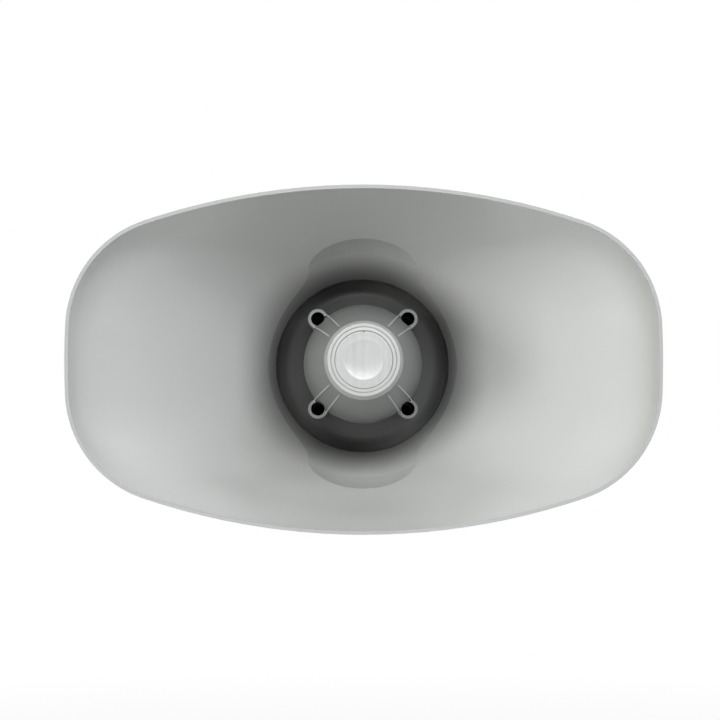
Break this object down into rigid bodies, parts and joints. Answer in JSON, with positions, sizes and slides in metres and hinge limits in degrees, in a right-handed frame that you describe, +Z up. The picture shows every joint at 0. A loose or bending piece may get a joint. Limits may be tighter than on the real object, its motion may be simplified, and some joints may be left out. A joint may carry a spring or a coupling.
{
  "type": "pa horn speaker",
  "caption": "Wide-mouth re-entrant public-address horn with a round reflector, compression driver, line transformer and a tilting U-shaped bracket.",
  "frame": {"origin": "centre of the bracket foot's wall face, between its two bolt holes", "axes": "+Y out of the back of the foot into the wall, +X to the right as the mouth is seen from the front, +Z up; the mouth faces -Y"},
  "size_m": [0.5, 0.36, 0.2926],
  "materials": {
    "horn_plastic": "smooth glossy light grey ABS",
    "cap_plastic": "smooth pale grey ABS",
    "badge_metal": "fine vertical brushing",
    "black_screw": "black oxide",
    "plated_screw": "zinc plated",
    "gasket_rubber": "soft black rubber",
    "inner_plastic": "black glass-filled plastic",
    "cast_alloy": "die cast",
    "film": "brown phenolic film",
    "copper_wire": "enamelled winding wire",
    "plated_iron": "yellow zinc plated iron",
    "ferrite": "dark ceramic",
    "laminations": "stacked sheet with visible edges",
    "gland_plastic": "black polyamide",
    "brass_insert": "machined brass",
    "fibre": "black fibre",
    "bracket_paint": "light grey powder coat"
  },
  "bodies": {
    "bracket": {"u_bracket": "bracket_paint"},
    "horn": {"horn_bell": "horn_plastic", "reflector": "horn_plastic", "nose_cap": "cap_plastic", "badge_plate": "badge_metal", "reflector_screws": "black_screw", "throat_horn": "inner_plastic", "throat_gasket": "gasket_rubber", "driver_plate": "cast_alloy", "diaphragm": "film", "diaphragm_ring": "cast_alloy", "voice_coil": "copper_wire", "top_plate": "plated_iron", "magnet": "ferrite", "yoke": "plated_iron", "driver_screws": "plated_screw", "housing_gasket": "gasket_rubber", "rear_housing": "horn_plastic", "housing_screws": "plated_screw", "transformer_core": "laminations", "transformer_winding": "copper_wire", "transformer_clamp": "plated_iron", "transformer_screws": "plated_screw", "gland_body": "gland_plastic", "gland_seal": "gasket_rubber", "gland_nut": "gland_plastic", "gland_locknut": "gland_plastic", "hinge_inserts": "brass_insert", "friction_washers": "fibre", "flat_washers": "plated_screw", "spring_washers": "plated_screw", "hinge_bolts": "plated_screw"}
  },
  "joints": [
    {"name": "tilt", "type": "hinge", "parent": "bracket", "child": "horn", "pos_m": [0, -0.145, 0], "axis": [1, 0, 0], "range_deg": [-85, 85]}
  ]
}
